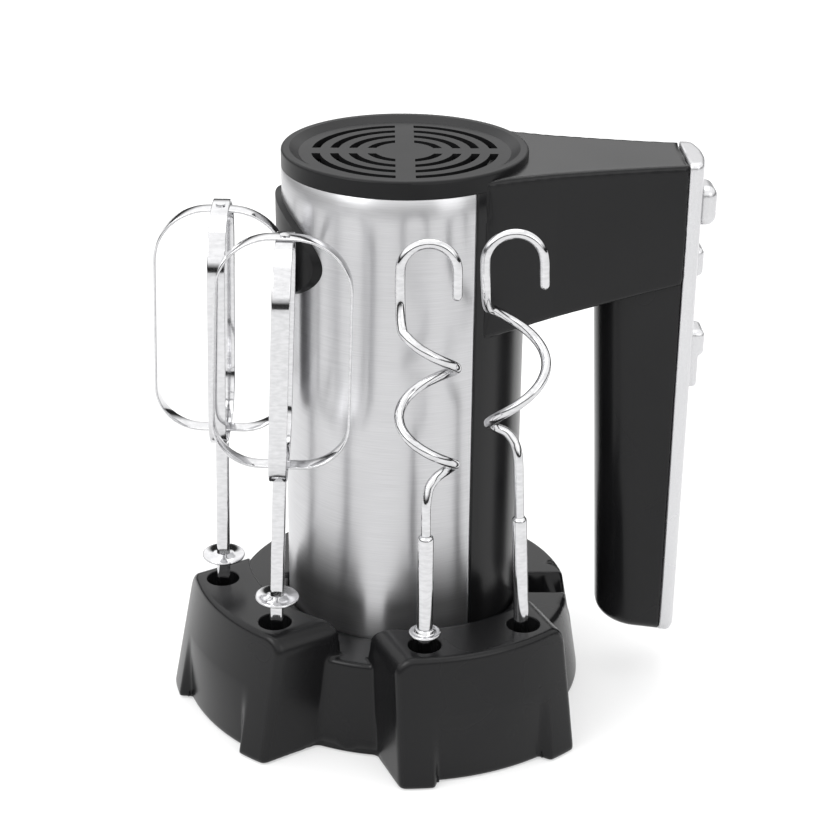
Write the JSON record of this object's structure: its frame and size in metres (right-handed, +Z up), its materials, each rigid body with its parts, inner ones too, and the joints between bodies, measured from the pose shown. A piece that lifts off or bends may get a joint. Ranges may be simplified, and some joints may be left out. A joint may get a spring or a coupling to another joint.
{
  "type": "hand mixer",
  "caption": "Upright cylindrical hand mixer with a side handle, standing on its rear end in a storage stand with lobes for wire-loop beaters and spiral dough hooks.",
  "frame": {"origin": "on the body cylinder's axis, at the stand's underside (floor level)", "axes": "+Z up along the motor axis from the rear end to the vented front cap, +X from the body to the handle, +Y to the left when looking along +X"},
  "size_m": [0.2276, 0.1812, 0.24],
  "materials": {
    "black_satin": "satin moulded",
    "black_cap": "satin moulded",
    "rubber": "matt",
    "screw_steel": "plated",
    "brushed_sleeve": "brushed round the axis",
    "silver_satin": "silver paint, satin",
    "inner_plastic": "moulded",
    "nylon_wheel": "natural nylon",
    "lamination": "stacked sheet",
    "copper": "enamelled copper",
    "carbon": "graphite",
    "bearing_steel": "machined",
    "chrome": "polished"
  },
  "bodies": {
    "stand": {"stand_shell": "black_satin", "stand_base_plate": "black_cap", "stand_screws": "screw_steel", "stand_feet": "rubber", "stand_mat": "rubber"},
    "mixer": {"housing_left": "black_satin", "housing_right": "black_satin", "housing_screws": "screw_steel", "steel_sleeve": "brushed_sleeve", "end_cover": "black_satin", "vent_cap": "black_cap", "socket_plate": "black_cap", "handle_trim": "silver_satin", "speed_switch": "inner_plastic", "turbo_switch": "inner_plastic", "cord_bush": "rubber", "stator_stack": "lamination", "field_coils": "copper", "motor_cradle": "inner_plastic", "carbon_brushes": "carbon", "brush_holders": "inner_plastic", "rear_bearing": "bearing_steel", "gearbox_case": "inner_plastic"},
    "rotor": {"motor_shaft": "bearing_steel", "armature_core": "lamination", "armature_windings": "copper", "commutator": "copper", "cooling_fan": "inner_plastic"},
    "spindle_left": {"drive_wheel_left": "nylon_wheel", "spindle_tube_left": "bearing_steel"},
    "spindle_right": {"drive_wheel_right": "nylon_wheel", "spindle_tube_right": "bearing_steel"},
    "ejector": {"eject_button": "silver_satin", "eject_fork": "inner_plastic"},
    "turbo": {"turbo_button": "silver_satin"},
    "slider": {"speed_slider": "silver_satin"},
    "beater_left": {"beater_left_shank": "chrome", "beater_left_face_loop": "chrome", "beater_left_side_loop": "chrome", "beater_left_rivet": "chrome", "beater_left_disc": "chrome"},
    "hook_left": {"hook_left_wire": "chrome", "hook_left_ferrule": "chrome", "hook_left_collar": "chrome"},
    "beater_right": {"beater_right_shank": "chrome", "beater_right_face_loop": "chrome", "beater_right_side_loop": "chrome", "beater_right_rivet": "chrome", "beater_right_disc": "chrome"},
    "hook_right": {"hook_right_wire": "chrome", "hook_right_ferrule": "chrome"}
  },
  "joints": [
    {"name": "mixer_lift", "type": "slide", "parent": "stand", "child": "mixer", "axis": [0, 0, 1], "range_m": [0, 0.26]},
    {"name": "motor_spin", "type": "hinge", "parent": "mixer", "child": "rotor", "pos_m": [0, 0, 0.2], "axis": [0, 0, 1], "continuous": true},
    {"name": "spindle_left_spin", "type": "hinge", "parent": "mixer", "child": "spindle_left", "pos_m": [0, -0.02, 0.2005], "axis": [1, 0, 0], "continuous": true},
    {"name": "spindle_right_spin", "type": "hinge", "parent": "mixer", "child": "spindle_right", "pos_m": [0, 0.02, 0.2005], "axis": [1, 0, 0], "continuous": true},
    {"name": "eject_push", "type": "slide", "parent": "mixer", "child": "ejector", "axis": [-1, 0, 0], "range_m": [0, 0.004], "stiffness_N_per_m": 900, "springref_m": -0.003},
    {"name": "turbo_push", "type": "slide", "parent": "mixer", "child": "turbo", "axis": [-1, 0, 0], "range_m": [0, 0.0014], "stiffness_N_per_m": 600, "springref_m": -0.002},
    {"name": "speed_slide", "type": "slide", "parent": "mixer", "child": "slider", "axis": [0, 0, -1], "range_m": [0, 0.02]},
    {"name": "beater_left_lift", "type": "slide", "parent": "stand", "child": "beater_left", "axis": [0, 0, 1], "range_m": [0, 0.21]},
    {"name": "beater_right_lift", "type": "slide", "parent": "stand", "child": "beater_right", "axis": [0, 0, 1], "range_m": [0, 0.21]},
    {"name": "hook_left_lift", "type": "slide", "parent": "stand", "child": "hook_left", "axis": [0, 0, 1], "range_m": [0, 0.21]},
    {"name": "hook_right_lift", "type": "slide", "parent": "stand", "child": "hook_right", "axis": [0, 0, 1], "range_m": [0, 0.21]}
  ],
  "couplings": [
    {"joint": "spindle_left_spin", "follows": "motor_spin", "ratio": -0.066667},
    {"joint": "spindle_right_spin", "follows": "motor_spin", "ratio": 0.066667}
  ]
}
